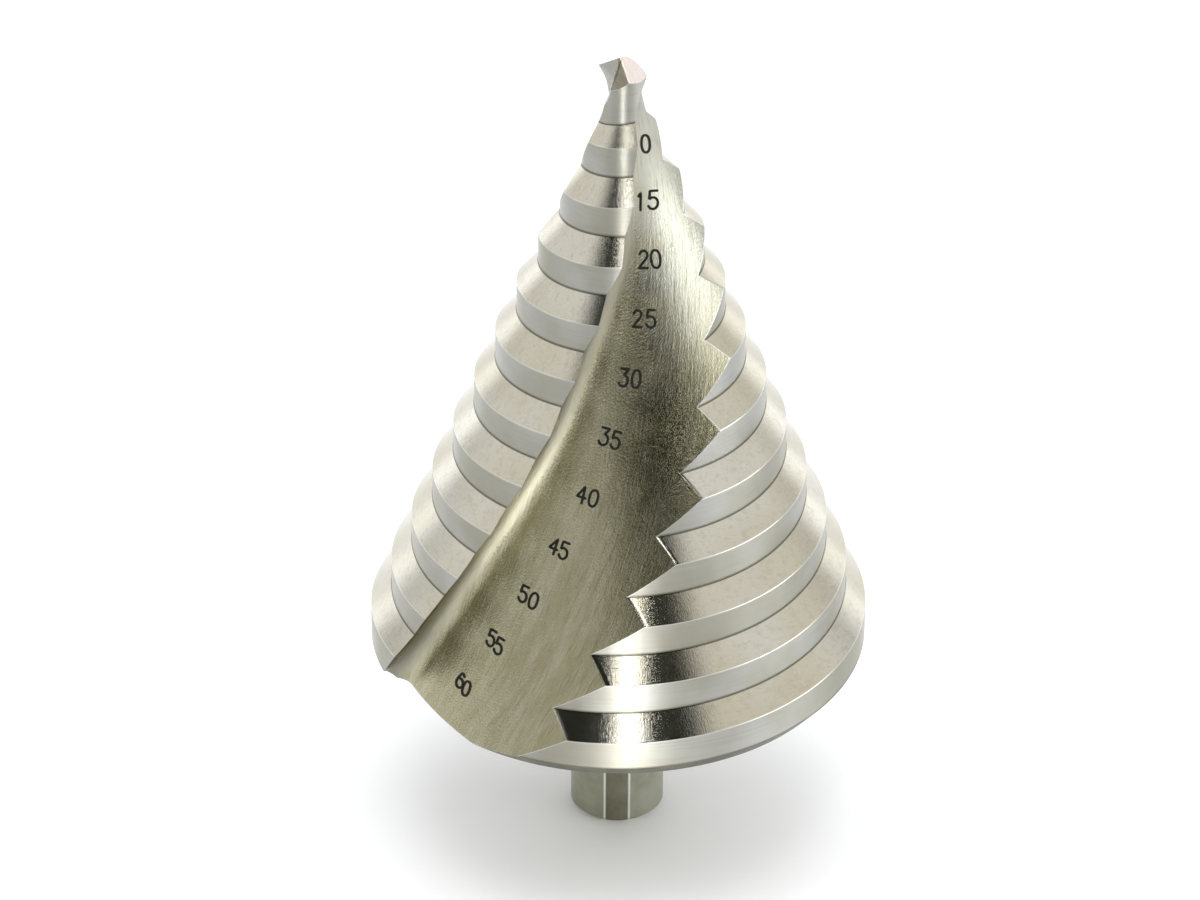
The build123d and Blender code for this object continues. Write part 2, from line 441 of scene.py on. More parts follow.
for k in range(1, len(ROWS)):
    kind = ROWS[k][1]
    fa, fb = ROWS[k - 1][2], ROWS[k][2]
    if kind == "cone" and ROWS[k][4] == 0.0:
        fb = 0.0
    if kind == "land" and fa > fb:
        fa = 0.0
    ca, cb = ROWS[k - 1][3], ROWS[k][3]
    if kind == "cone" and cb < ca:
        cb = SLANT
    if kind == "cone" and fa == LAND_H:
        fa = SLANT
    for sd in (0, 1):
        for j in range(N_OUT):
            ids = (land_ids[sd][k - 1][j], land_ids[sd][k - 1][j + 1], land_ids[sd][k][j + 1], land_ids[sd][k][j])
            ra = math.hypot(verts[ids[0]][0], verts[ids[0]][1])
            d = [math.radians(land_t[k - 1][-1] - land_t[k - 1][j]) * ra,
                 math.radians(land_t[k - 1][-1] - land_t[k - 1][j + 1]) * ra,
                 math.radians(land_t[k][-1] - land_t[k][j + 1]) * ra,
                 math.radians(land_t[k][-1] - land_t[k][j]) * ra]
            h = [math.radians(land_t[k - 1][j] - land_t[k - 1][0]) * ra,
                 math.radians(land_t[k - 1][j + 1] - land_t[k - 1][0]) * ra,
                 math.radians(land_t[k][j + 1] - land_t[k][0]) * ra,
                 math.radians(land_t[k][j] - land_t[k][0]) * ra]
            quad(ids, kind, [(fa, ca, 0), (fa, ca, 0), (fb, cb, 0), (fb, cb, 0)],
                 [(d[0], h[0], 0), (d[1], h[1], 0), (d[2], h[2], 0), (d[3], h[3], 0)])
        for j in range(N_FL):
            ids = (flute_ids[sd][k - 1][j], flute_ids[sd][k - 1][j + 1], flute_ids[sd][k][j + 1],
                   flute_ids[sd][k][j])
            p = (flute_att[k - 1][j], flute_att[k - 1][j + 1], flute_att[k][j + 1], flute_att[k][j])
            quad(ids, "flute", p, [(0, 0, 0)] * 4)

# --- the point: rings from the top loop towards the axis
top = []
for sd in (0, 1):
    top += land_ids[sd][-1][:-1] + flute_ids[sd][-1][:-1]
apex = vert(0.0, 0.0, z_point(0.0, 0.0))
rings = [top]
for f in (0.97, 0.9, 0.8, 0.7, 0.6, 0.5, 0.4, 0.3, 0.2, 0.1):
    rings.append([vert(verts[i][0] * f, verts[i][1] * f, z_point(verts[i][0] * f, verts[i][1] * f)) for i in top])
for a, b in zip(rings, rings[1:]):
    for j in range(len(a)):
        n = (j + 1) % len(a)
        mx = sum(verts[i][0] for i in (a[j], a[n], b[n], b[j])) / 4
        my = sum(verts[i][1] for i in (a[j], a[n], b[n], b[j])) / 4
        quad((a[j], a[n], b[n], b[j]), "split" if split_side(mx, my) else "tip", [(0, 0, 0)] * 4, [(0, 0, 0)] * 4)
for j in range(len(top)):
    quad((rings[-1][j], rings[-1][(j + 1) % len(top)], apex), "tip", [(0, 0, 0)] * 3, [(0, 0, 0)] * 3)


# --- the shank and the underside
def shank_loop(r, z):
    """Round section with three flats; the flats stay in place when r is reduced at the chamfer."""
    depth = math.sqrt(SHANK_R ** 2 - (FLAT_W / 2) ** 2)
    half = math.degrees(math.asin(FLAT_W / 2 / SHANK_R))
    out = []
    for flat in (0, 120, 240):
        for k in range(8):
            t = flat - half + 2 * half * k / 8
            q = math.radians(t)
            rr = min(r, depth / math.cos(math.radians(t - flat)))
            out.append(vert(rr * math.sin(q), -rr * math.cos(q), z))
        for k in range(40):
            t = flat + half + (120 - 2 * half) * k / 40
            q = math.radians(t)
            out.append(vert(r * math.sin(q), -r * math.cos(q), z))
    return out


levels = [(SHANK_R - SHANK_CH, 0.0), (SHANK_R - SHANK_CH + 0.02, 0.02), (SHANK_R - 0.02, SHANK_CH - 0.02),
          (SHANK_R, SHANK_CH), (SHANK_R, SHANK_CH + 0.04)]
levels += [(SHANK_R, z) for z in (1.5, 3.5, 6, 9, 12, 15, 18, 20.5, 22.3, 23.1, HEAD_Z)]
loops = [shank_loop(r, z) for r, z in levels]
for (ra, za), (rb, zb), a, b in zip(levels, levels[1:], loops, loops[1:]):
    for j in range(len(a)):
        n = (j + 1) % len(a)
        on_flat = (j % 48) < 8
        quad((a[j], a[n], b[n], b[j]), "flat" if on_flat else "shank",
             [(za, 0, 0), (za, 0, 0), (zb, 0, 0), (zb, 0, 0)], [(0, 0, 0)] * 4)
end_c = vert(0, 0, 0)
for j in range(len(loops[0])):
    quad((loops[0][(j + 1) % len(loops[0])], loops[0][j], end_c), "under", [(0, 0, 0)] * 3, [(0, 0, 0)] * 3)

from mathutils.geometry import delaunay_2d_cdt

outer = []
for sd in (0, 1):
    outer += land_ids[sd][0][:-1] + flute_ids[sd][0][:-1]
ids = outer + loops[-1]
pts = [Vector((verts[i][0], verts[i][1])) for i in ids]
n_o, n_s = len(outer), len(loops[-1])
edges = [(k, (k + 1) % n_o) for k in range(n_o)] + [(n_o + k, n_o + (k + 1) % n_s) for k in range(n_s)]
v2, _e2, f2, ov, _oe, _of = delaunay_2d_cdt(pts, edges, [], 1, 1e-7)
assert len(v2) == len(pts), (len(v2), len(pts))
back = {k: ids[o[0]] for k, o in enumerate(ov)}
for f in f2:
    if all(ov[k][0] >= n_o for k in f):          # inside the shank
        continue
    tri = [back[k] for k in f]
    (x0, y0, _), (x1, y1, _), (x2, y2, _) = (verts[i] for i in tri[:3])
    if (x1 - x0) * (y2 - y0) - (x2 - x0) * (y1 - y0) > 0:
        tri.reverse()
    quad(tuple(tri), "under", [(0, 0, 0)] * len(tri), [(0, 0, 0)] * len(tri))

# ---------------------------------------------------------------------------
# The mesh
# ---------------------------------------------------------------------------
KINDS = ["land", "cone", "flute", "rim", "shank", "flat", "under", "tip", "split"]


def build_mesh(name, vs, fs, mats=None, kinds_=None, atts=None, sharp=28.0):
    me = bpy.data.meshes.new(name)
    me.from_pydata([(x * MM, y * MM, z * MM) for x, y, z in vs], [], fs)
    if mats:
        for m in mats:
            me.materials.append(m)
    if kinds_:
        me.polygons.foreach_set("material_index", [KINDS.index(k) for k in kinds_])
    for att_name, data in (atts or {}).items():
        att = me.attributes.new(att_name, "FLOAT_VECTOR", "CORNER")
        att.data.foreach_set("vector", [c for v in data for c in v])
    me.validate(clean_customdata=False)
    me.update()
    me.polygons.foreach_set("use_smooth", [True] * len(me.polygons))
    if sharp is not None:
        me.set_sharp_from_angle(angle=math.radians(sharp))
    ob = bpy.data.objects.new(name, me)
    bpy.context.scene.collection.objects.link(ob)
    return ob


# ---------------------------------------------------------------------------
# Finishes.  All procedural: object coordinates are in metres, the corner
# attributes "prof" and "edge" are in millimetres.
# ---------------------------------------------------------------------------
class Nodes:
    def __init__(self, name):
        self.mat = bpy.data.materials.new(name)
        self.mat.use_nodes = True
        self.nt = self.mat.node_tree
        self.nt.nodes.clear()
        self.out = self.nt.nodes.new("ShaderNodeOutputMaterial")
        self.bsdf = self.nt.nodes.new("ShaderNodeBsdfPrincipled")
        self.nt.links.new(self.bsdf.outputs["BSDF"], self.out.inputs["Surface"])

    def link(self, value, socket):
        if hasattr(value, "links"):
            self.nt.links.new(value, socket)
        elif isinstance(value, (tuple, list)):
            socket.default_value = tuple(value) + ((1.0,) if len(value) == 3 and len(socket.default_value) == 4 else ())
        else:
            socket.default_value = value

    def put(self, socket, value):
        self.link(value, self.bsdf.inputs[socket])

    def math(self, op, a, b=0.0, c=None, clamp=False):
        n = self.nt.nodes.new("ShaderNodeMath")
        n.operation = op
        n.use_clamp = clamp
        self.link(a, n.inputs[0])
        if len(n.inputs) > 1:
            self.link(b, n.inputs[1])
        if c is not None:
            self.link(c, n.inputs[2])
        return n.outputs[0]

    def sep(self, vec):
        n = self.nt.nodes.new("ShaderNodeSeparateXYZ")
        self.link(vec, n.inputs[0])
        return n.outputs[0], n.outputs[1], n.outputs[2]

    def comb(self, x, y, z):
        n = self.nt.nodes.new("ShaderNodeCombineXYZ")
        for k, v in enumerate((x, y, z)):
            self.link(v, n.inputs[k])
        return n.outputs[0]

    def obj(self):
        n = self.nt.nodes.new("ShaderNodeTexCoord")
        return n.outputs["Object"]

    def att(self, name):
        n = self.nt.nodes.new("ShaderNodeAttribute")
        n.attribute_type = "GEOMETRY"
        n.attribute_name = name
        return n.outputs["Vector"]

    def noise(self, vec, scale, detail=3.0, rough=0.5, dims="3D"):
        n = self.nt.nodes.new("ShaderNodeTexNoise")
        n.noise_dimensions = dims
        self.link(vec, n.inputs["Vector" if dims != "1D" else "W"])
        n.inputs["Scale"].default_value = scale
        n.inputs["Detail"].default_value = detail
        n.inputs["Roughness"].default_value = rough
        return n.outputs["Fac"]

    def ramp(self, fac, stops):
        n = self.nt.nodes.new("ShaderNodeValToRGB")
        r = n.color_ramp
        while len(r.elements) < len(stops):
            r.elements.new(0.5)
        for e, (p, c) in zip(r.elements, stops):
            e.position = p
            e.color = (c, c, c, 1.0) if isinstance(c, (int, float)) else tuple(c) + (1.0,)
        self.link(fac, n.inputs[0])
        return n.outputs[0]

    def smooth(self, x, lo, hi, a=0.0, b=1.0):
        n = self.nt.nodes.new("ShaderNodeMapRange")
        n.interpolation_type = "SMOOTHSTEP"
        self.link(x, n.inputs["Value"])
        n.inputs["From Min"].default_value = lo
        n.inputs["From Max"].default_value = hi
        n.inputs["To Min"].default_value = a
        n.inputs["To Max"].default_value = b
        return n.outputs["Result"]

    def mix(self, fac, a, b, mode="MIX"):
        n = self.nt.nodes.new("ShaderNodeMix")
        n.data_type = "RGBA"
        n.blend_type = mode
        self.link(fac, n.inputs[0])
        self.link(a, n.inputs[6])
        self.link(b, n.inputs[7])
        return n.outputs[2]

    def bump(self, height, strength, distance, normal=None):
        n = self.nt.nodes.new("ShaderNodeBump")
        n.inputs["Strength"].default_value = strength
        n.inputs["Distance"].default_value = distance
        self.link(height, n.inputs["Height"])
        if normal is not None:
            self.link(normal, n.inputs["Normal"])
        return n.outputs["Normal"]

    def polar(self):
        """Radius and height in metres, and a point on a circle that follows the azimuth."""
        x, y, z = self.sep(self.obj())
        r = self.math("SQRT", self.math("ADD", self.math("MULTIPLY", x, x), self.math("MULTIPLY", y, y)))
        return r, z, x, y

    def rings(self, stretch=0.06, per=26000.0, detail=4.0):
        """Noise stretched round the axis: lines as a lathe or a cylindrical grinder leaves them."""
        r, z, x, y = self.polar()
        inv = self.math("DIVIDE", stretch * 0.02, self.math("MAXIMUM", r, 0.0005))
        vec = self.comb(self.math("MULTIPLY", x, inv), self.math("MULTIPLY", y, inv),
                        self.math("ADD", z, self.math("MULTIPLY", r, 0.7)))
        return self.noise(vec, per, detail, 0.6)


def metal(n, colour, rough, normal=None, aniso=0.0, tangent=None):
    n.put("Metallic", 1.0)
    n.put("Base Color", colour)
    n.put("Roughness", rough)
    if normal is not None:
        n.put("Normal", normal)
    if aniso:                        # lines run round the axis, so gloss spreads along it
        n.put("Anisotropic", aniso)
        n.put("Anisotropic Rotation", 0.25)
    if tangent is not None:
        n.put("Tangent", tangent)
    return n.mat


def radial_tangent(n):
    t = n.nt.nodes.new("ShaderNodeTangent")
    t.direction_type = "RADIAL"
    t.axis = "Z"
    return t.outputs["Tangent"]


def mat_land():
    n = Nodes("ground_land")
    foot, crest, _ = n.sep(n.att("prof"))
    to_edge, to_heel, _ = n.sep(n.att("edge"))
    fine = n.rings(0.05, 30000.0, 4.0)
    broad = n.rings(0.02, 3500.0, 3.0)
    cloud = n.noise(n.obj(), 90.0, 3.0, 0.55)
    c = n.mix(n.smooth(cloud, 0.35, 0.7), (0.37, 0.36, 0.30), (0.45, 0.45, 0.425))
    c = n.mix(n.math("MULTIPLY", n.smooth(broad, 0.45, 0.75), 0.35), c, (0.31, 0.295, 0.235))
    # painted shade: a grey-olive line in the inner corner where the shoulder meets the land; painted highlight, partly
    # burr: a paler line along the crest and the heel edge
    line = n.math("SUBTRACT", 1.0, n.smooth(foot, 0.05, 0.30))
    c = n.mix(n.math("MULTIPLY", line, 0.7), c, (0.09, 0.085, 0.045))
    # painted highlight, partly burr: paler crest and heel edges
    pale = n.math("SUBTRACT", 1.0, n.smooth(n.math("MINIMUM", crest, to_heel), 0.02, 0.16))
    c = n.mix(n.math("MULTIPLY", pale, 0.6), c, (0.78, 0.77, 0.72))
    rough = n.math("ADD", n.math("MULTIPLY", fine, 0.16), 0.34)
    nrm = n.bump(fine, 0.25, 0.00002)
    return metal(n, c, rough, nrm, 0.95, radial_tangent(n))


def mat_cone():
    n = Nodes("turned_shoulder")
    foot, crest, _ = n.sep(n.att("prof"))
    to_edge, to_heel, _ = n.sep(n.att("edge"))
    fine = n.rings(0.10, 14000.0, 5.0)
    wide = n.rings(0.25, 4200.0, 3.0)
    chatter = n.rings(1.4, 9000.0, 3.0)
    speck = n.noise(n.obj(), 2600.0, 3.0, 0.65)
    cloud = n.noise(n.obj(), 60.0, 2.0, 0.5)
    c = n.mix(n.smooth(cloud, 0.35, 0.7), (0.50, 0.465, 0.365), (0.57, 0.55, 0.48))
    c = n.mix(n.math("MULTIPLY", n.smooth(wide, 0.48, 0.72), 0.30), c, (0.38, 0.345, 0.24))
    c = n.mix(n.math("MULTIPLY", n.smooth(fine, 0.5, 0.8), 0.35), c, (0.33, 0.31, 0.23))
    c = n.mix(n.math("MULTIPLY", n.smooth(speck, 0.55, 0.75), 0.16), c, (0.72, 0.69, 0.60))
    # painted shade: a dark line in the inner corner where the shoulder meets the next land
    line = n.math("SUBTRACT", 1.0, n.smooth(foot, 0.03, 0.20))
    c = n.mix(n.math("MULTIPLY", line, 0.9), c, (0.06, 0.06, 0.03))
    # painted highlight, partly burr: paler crest and heel edges
    pale = n.math("SUBTRACT", 1.0, n.smooth(n.math("MINIMUM", crest, to_heel), 0.02, 0.14))
    c = n.mix(n.math("MULTIPLY", pale, 0.6), c, (0.80, 0.78, 0.70))
    rough = n.math("ADD", n.math("MULTIPLY", speck, 0.10), 0.07)
    nrm = n.bump(fine, 0.30, 0.00002)
    nrm = n.bump(chatter, 0.28, 0.00003, nrm)
    nrm = n.bump(speck, 0.08, 0.00002, nrm)
    return metal(n, c, rough, nrm, 0.35, radial_tangent(n))


def mat_flute():
    n = Nodes("ground_flute")
    s, z, to_heel = n.sep(n.att("prof"))
    # short lines left by the wheel, leaning across the flute
    lean = n.math("ADD", s, n.math("MULTIPLY", z, 0.33))
    fine = n.noise(n.comb(n.math("MULTIPLY", lean, 9.0), n.math("MULTIPLY", z, 0.55), 0.0), 1.0, 4.0, 0.65)
    line = n.noise(n.comb(n.math("MULTIPLY", lean, 3.6), n.math("MULTIPLY", z, 0.28), 5.0), 1.0, 4.0, 0.6)
    broad = n.noise(n.comb(n.math("MULTIPLY", lean, 0.55), n.math("MULTIPLY", z, 0.11), 3.7), 1.0, 3.0, 0.55)
    speck = n.noise(n.comb(n.math("MULTIPLY", s, 5.0), n.math("MULTIPLY", z, 3.5), 9.1), 1.0, 3.0, 0.6)
    c = n.mix(n.smooth(broad, 0.35, 0.68), (0.335, 0.31, 0.195), (0.41, 0.385, 0.265))
    # painted highlight, partly the steel's neutral tone: a brighter, neutral colour on the upper turn of the flute
    # beside the heel, where reflected light falls
    upper = n.math("MULTIPLY", n.smooth(z, 62.0, 78.0), n.math("SUBTRACT", 1.0, n.smooth(to_heel, 5.0, 11.0)))
    c = n.mix(n.math("MULTIPLY", upper, 0.7), c, (0.43, 0.43, 0.385))
    c = n.mix(n.math("MULTIPLY", n.smooth(z, 93.0, 98.0), 0.9), c, (0.27, 0.27, 0.245))
    c = n.mix(n.math("MULTIPLY", n.smooth(line, 0.50, 0.72), 0.55), c, (0.19, 0.175, 0.11))
    c = n.mix(n.math("MULTIPLY", n.smooth(fine, 0.52, 0.76), 0.50), c, (0.66, 0.64, 0.52))
    # painted shade: the undercut cutting face is darkened; then a duller, neutral gullet, partly the steel's tone and
    # partly painted reflection
    base_end = n.math("SUBTRACT", 1.0, n.smooth(z, 78.0, 90.0))
    # the gullet band's duller, neutral tone: partly the steel's own, partly painted reflection
    pale = n.math("MULTIPLY", n.smooth(s, 3.2, 4.2), n.math("SUBTRACT", 1.0, n.smooth(s, 5.0, 7.4)))
    c = n.mix(n.math("MULTIPLY", n.math("MULTIPLY", pale, 0.85), base_end), c, (0.27, 0.262, 0.215))
    # painted shade: darker cutting face, undercut by its hook
    wall = n.math("SUBTRACT", 1.0, n.smooth(s, 2.3, 3.5))
    c = n.mix(n.math("MULTIPLY", n.math("MULTIPLY", wall, 0.90), base_end), c, (0.055, 0.053, 0.034))
    # painted highlight, partly burr: a paler line along the heel edge
    heel = n.math("SUBTRACT", 1.0, n.smooth(to_heel, 0.03, 0.20))
    c = n.mix(n.math("MULTIPLY", heel, 0.6), c, (0.70, 0.69, 0.62))
    rough = n.math("ADD", n.math("MULTIPLY", speck, 0.16), n.math("MULTIPLY", broad, 0.10))
    rough = n.math("ADD", rough, 0.11)
    # the floor is burnished by chips beside the heel of the upper steps
    worn = n.math("MULTIPLY", n.smooth(z, 46.0, 60.0), n.math("SUBTRACT", 1.0, n.smooth(to_heel, 5.5, 10.0)))
    rough = n.math("MULTIPLY", rough, n.math("SUBTRACT", 1.0, n.math("MULTIPLY", worn, 0.52)))
    rough = n.math("ADD", rough, n.math("MULTIPLY", n.math("MULTIPLY", pale, 0.14), base_end))
    nrm = n.bump(fine, 0.50, 0.00006)
    nrm = n.bump(line, 0.38, 0.00010, nrm)
    nrm = n.bump(speck, 0.42, 0.00009, nrm)
    return metal(n, c, rough, nrm)


def mat_rim():
    n = Nodes("rim_bevel")
    fine = n.rings(0.08, 18000.0, 5.0)
    cloud = n.noise(n.obj(), 220.0, 4.0, 0.6)
    c = n.mix(n.smooth(cloud, 0.35, 0.7), (0.10, 0.10, 0.075), (0.18, 0.175, 0.13))
    rough = n.math("ADD", n.math("MULTIPLY", fine, 0.2), 0.26)
    return metal(n, c, rough, n.bump(fine, 0.4, 0.00003), 0.3, radial_tangent(n))


def mat_under():
    n = Nodes("turned_underside")
    r, z, x, y = n.polar()
    fine = n.noise(n.comb(n.math("MULTIPLY", x, 0.02), n.math("MULTIPLY", y, 0.02), r), 9000.0, 5.0, 0.6)
    cloud = n.noise(n.obj(), 150.0, 3.0, 0.6)
    c = n.mix(n.smooth(cloud, 0.35, 0.7), (0.27, 0.26, 0.20), (0.38, 0.37, 0.31))
    rough = n.math("ADD", n.math("MULTIPLY", fine, 0.2), 0.24)
    return metal(n, c, rough, n.bump(fine, 0.5, 0.00004), 0.0)


def mat_shank(flat):
    n = Nodes("shank_flat" if flat else "shank_round")
    if flat:
        x, y, z = n.sep(n.obj())
        fine = n.noise(n.comb(n.math("MULTIPLY", x, 22000.0), n.math("MULTIPLY", y, 22000.0),
                              n.math("MULTIPLY", z, 500.0)), 1.0, 4.0, 0.6)
        a, b = (0.17, 0.165, 0.115), (0.25, 0.245, 0.185)
    else:
        fine = n.rings(0.05, 24000.0, 4.0)
        a, b = (0.32, 0.315, 0.24), (0.43, 0.425, 0.35)
    cloud = n.noise(n.obj(), 160.0, 4.0, 0.6)
    c = n.mix(n.smooth(cloud, 0.35, 0.7), a, b)
    c = n.mix(n.math("MULTIPLY", n.smooth(fine, 0.55, 0.8), 0.35), c, (0.50, 0.49, 0.42))
    # painted highlight: pale lines along both edges of each flat
    x, y, z = n.sep(n.obj())
    for k in range(3):
        q = math.radians(120 * k)
        side = n.math("ABSOLUTE", n.math("ADD", n.math("MULTIPLY", x, math.cos(q)), n.math("MULTIPLY", y, math.sin(q))))
        out = n.math("SUBTRACT", n.math("MULTIPLY", x, math.sin(q)), n.math("MULTIPLY", y, math.cos(q)))
        near_edge = n.math("SUBTRACT", 1.0, n.smooth(n.math("ABSOLUTE", n.math("SUBTRACT", side, 0.00150)), 0.00003, 0.00022))
        near_edge = n.math("MULTIPLY", near_edge, n.math("GREATER_THAN", out, 0.004))
        c = n.mix(n.math("MULTIPLY", near_edge, 0.85), c, (0.86, 0.86, 0.82))
    rough = n.math("ADD", n.math("MULTIPLY", fine, 0.2), 0.24)
    nrm = n.bump(fine, 0.3, 0.00003)
    if flat:
        return metal(n, c, rough, nrm)
    return metal(n, c, rough, nrm, 0.6, radial_tangent(n))


def mat_tip(split):
    n = Nodes("split_facet" if split else "lip_facet")
    x, y, z = n.sep(n.obj())
    fine = n.noise(n.comb(n.math("MULTIPLY", n.math("ADD", x, n.math("MULTIPLY", y, 0.6)), 9000.0),
                          n.math("MULTIPLY", n.math("SUBTRACT", y, n.math("MULTIPLY", x, 0.6)), 700.0), 0.0),
                   1.0, 4.0, 0.6)
    # lit and shaded copies of one ground steel: the lip facet's pale pink is a painted highlight, the split facet's
    # darker brown is painted shade
    if split:
        c = n.mix(n.smooth(fine, 0.4, 0.7), (0.24, 0.215, 0.165), (0.33, 0.30, 0.24))
    else:
        c = n.mix(n.smooth(fine, 0.4, 0.7), (0.62, 0.55, 0.50), (0.76, 0.70, 0.66))
    rough = n.math("ADD", n.math("MULTIPLY", fine, 0.15), 0.30)
    return metal(n, c, rough, n.bump(fine, 0.3, 0.00002))


def mat_ink():
    n = Nodes("marking")
    fine = n.noise(n.obj(), 6000.0, 3.0, 0.6)
    c = n.mix(n.smooth(fine, 0.4, 0.75), (0.008, 0.008, 0.007), (0.035, 0.033, 0.028))
    n.put("Base Color", c)
    n.put("Roughness", n.math("ADD", n.math("MULTIPLY", fine, 0.3), 0.6))
    n.put("Specular IOR Level", 0.12)
    n.put("Normal", n.bump(fine, 0.3, 0.00002))
    return n.mat


def mat_floor():
    n = Nodes("studio_floor")
    fine = n.noise(n.obj(), 40.0, 2.0, 0.5)
    c = n.mix(n.smooth(fine, 0.3, 0.7), (0.965, 0.965, 0.965), (0.98, 0.98, 0.98))
    n.put("Base Color", c)
    n.put("Roughness", n.math("ADD", n.math("MULTIPLY", fine, 0.1), 0.6))
    n.put("Specular IOR Level", 0.2)
    return n.mat


mats = [mat_land(), mat_cone(), mat_flute(), mat_rim(), mat_shank(False), mat_shank(True), mat_under(), mat_tip(False),
        mat_tip(True)]
drill = build_mesh("drill_body", verts, faces, mats, kinds, {"prof": corner_a, "edge": corner_b})
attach(drill, "root")
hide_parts("step_drill")

# ---------------------------------------------------------------------------
# Camera, floor and light
# ---------------------------------------------------------------------------
scene = bpy.context.scene
f = Vector((-0.00417528, 0.8517164, -0.52398639)).normalized()
right = f.cross(Vector((0, 0, 1))).normalized()
up = right.cross(f).normalized()
roll = 0.0056
r2 = math.cos(roll) * right + math.sin(roll) * up
u2 = -math.sin(roll) * right + math.cos(roll) * up
m = Matrix(((r2.x, u2.x, -f.x), (r2.y, u2.y, -f.y), (r2.z, u2.z, -f.z))).to_4x4()
CAM = Vector((0.0, -0.475521, 0.342837))
m.translation = CAM
cam = bpy.data.objects.new("camera", bpy.data.cameras.new("camera"))
scene.collection.objects.link(cam)
cam.matrix_world = m
cam.data.sensor_width = 36.0
cam.data.lens = 141.39
cam.data.clip_start, cam.data.clip_end = 0.01, 50.0
scene.camera = cam


# ---------------------------------------------------------------------------
# Size marks: one for each step, in single-stroke figures on the flute's floor.
# Each figure is set out as seen from the camera, then laid on the steel.
# ---------------------------------------------------------------------------
def arc(cx, cy, rx, ry, a0, a1, n=14):
    """Points of an ellipse from angle a0 to a1, degrees, y down."""
    return [(cx + rx * math.cos(math.radians(a0 + (a1 - a0) * k / n)),
             cy + ry * math.sin(math.radians(a0 + (a1 - a0) * k / n))) for k in range(n + 1)]


def oval(n=36, power=0.86):
    out = []
    for k in range(n):
        a = 2 * math.pi * k / n
        ca, sa = math.cos(a), math.sin(a)
        out.append((0.5 + 0.5 * math.copysign(abs(ca) ** power, ca), 0.5 + 0.5 * math.copysign(abs(sa) ** power, sa)))
    return out


FIGURES = {
    "0": [(oval(), True)],
    "1": [([(0.12, 0.20), (0.46, 0.01), (0.46, 1.0)], False)],
    "2": [([(0.10, 0.21)] + arc(0.50, 0.27, 0.42, 0.27, 195, 395) + [(0.05, 1.0), (1.0, 1.0)], False)],
    "3": [([(0.10, 0.0), (0.94, 0.0), (0.50, 0.36)] + arc(0.48, 0.68, 0.50, 0.32, -80, 155, 20), False)],
    "4": [([(0.72, 1.0), (0.72, 0.0), (0.0, 0.66), (1.0, 0.66)], False)],
    "5": [([(0.92, 0.0), (0.17, 0.0), (0.10, 0.43)] + arc(0.47, 0.68, 0.50, 0.32, -130, 155, 22), False)],
    "6": [([(0.90, 0.14)] + arc(0.58, 0.22, 0.34, 0.22, -30, -110, 6) + [(0.10, 0.42)]
           + [(0.0, 0.66)], False), ([(0.5 + 0.5 * math.cos(2 * math.pi * k / 30),
                                      0.69 + 0.31 * math.sin(2 * math.pi * k / 30)) for k in range(30)], True)],
}
# figure, centre in the 1200 x 900 view, its across vector and its down vector
MARKS = [("0", 645.6, 143.8, 8.2, 0.0, 0.9, 17.3),
         ("1", 640.9, 201.4, 6.5, -0.4, -0.2, 17.2), ("5", 653.2, 199.9, 9.8, -0.7, 0.2, 18.2),
         ("2", 643.3, 259.4, 9.4, 0.0, -0.6, 17.4), ("0", 655.7, 259.0, 9.2, 0.1, 1.3, 17.6),
         ("2", 637.3, 318.6, 9.0, 0.3, -0.7, 16.8), ("5", 650.9, 318.9, 9.2, 0.3, 0.0, 17.7),
         ("3", 623.8, 377.6, 9.0, 0.9, -2.4, 17.4), ("0", 636.2, 379.1, 8.4, 0.6, -2.0, 17.4),
         ("3", 604.2, 436.6, 8.8, 2.5, -4.0, 16.8), ("5", 615.9, 440.3, 8.6, 2.5, -3.6, 17.0),
         ("4", 581.7, 494.5, 8.2, 2.6, -3.8, 16.2), ("0", 593.5, 498.4, 8.2, 1.8, -4.0, 16.0),
         ("4", 554.1, 546.1, 7.4, 3.2, -5.0, 14.8), ("5", 564.0, 550.7, 7.8, 3.2, -4.4, 16.2),
         ("5", 523.5, 594.0, 7.4, 4.2, -4.6, 15.6), ("0", 533.4, 600.9, 7.4, 3.4, -5.0, 14.8),
         ("5", 491.4, 638.2, 7.0, 4.6, -4.6, 15.4), ("5", 498.8, 646.2, 7.0, 4.6, -4.6, 15.4),
         ("6", 460.4, 680.3, 6.2, 4.4, -4.4, 14.0), ("0", 466.3, 688.5, 6.2, 3.6, -4.8, 13.6)]
STROKE = 2.55 / 2         # half the stroke's width, in the same view

tree = BVHTree.FromPolygons([Vector(v) for v in verts], faces)


def on_steel(px, py):
    """The point of the drill, in mm, seen at a place of the 1200 x 900 view, and the normal there."""
    d = (f + r2 * ((px - 600) / 4713.0) - u2 * ((py - 450) / 4713.0)).normalized()
    hit = tree.ray_cast(CAM * 1000.0, d)
    return hit[0], hit[1]


def resample(pts, step, closed):
    pts = list(pts) + ([pts[0]] if closed else [])
    out, carry = [], 0.0
    for (x0, y0), (x1, y1) in zip(pts, pts[1:]):
        n_ = max(1, int(math.ceil(math.hypot(x1 - x0, y1 - y0) / step)))
        for k in range(n_):
            out.append((x0 + (x1 - x0) * k / n_, y0 + (y1 - y0) * k / n_))
    if not closed:
        out.append(pts[-1])
    return out


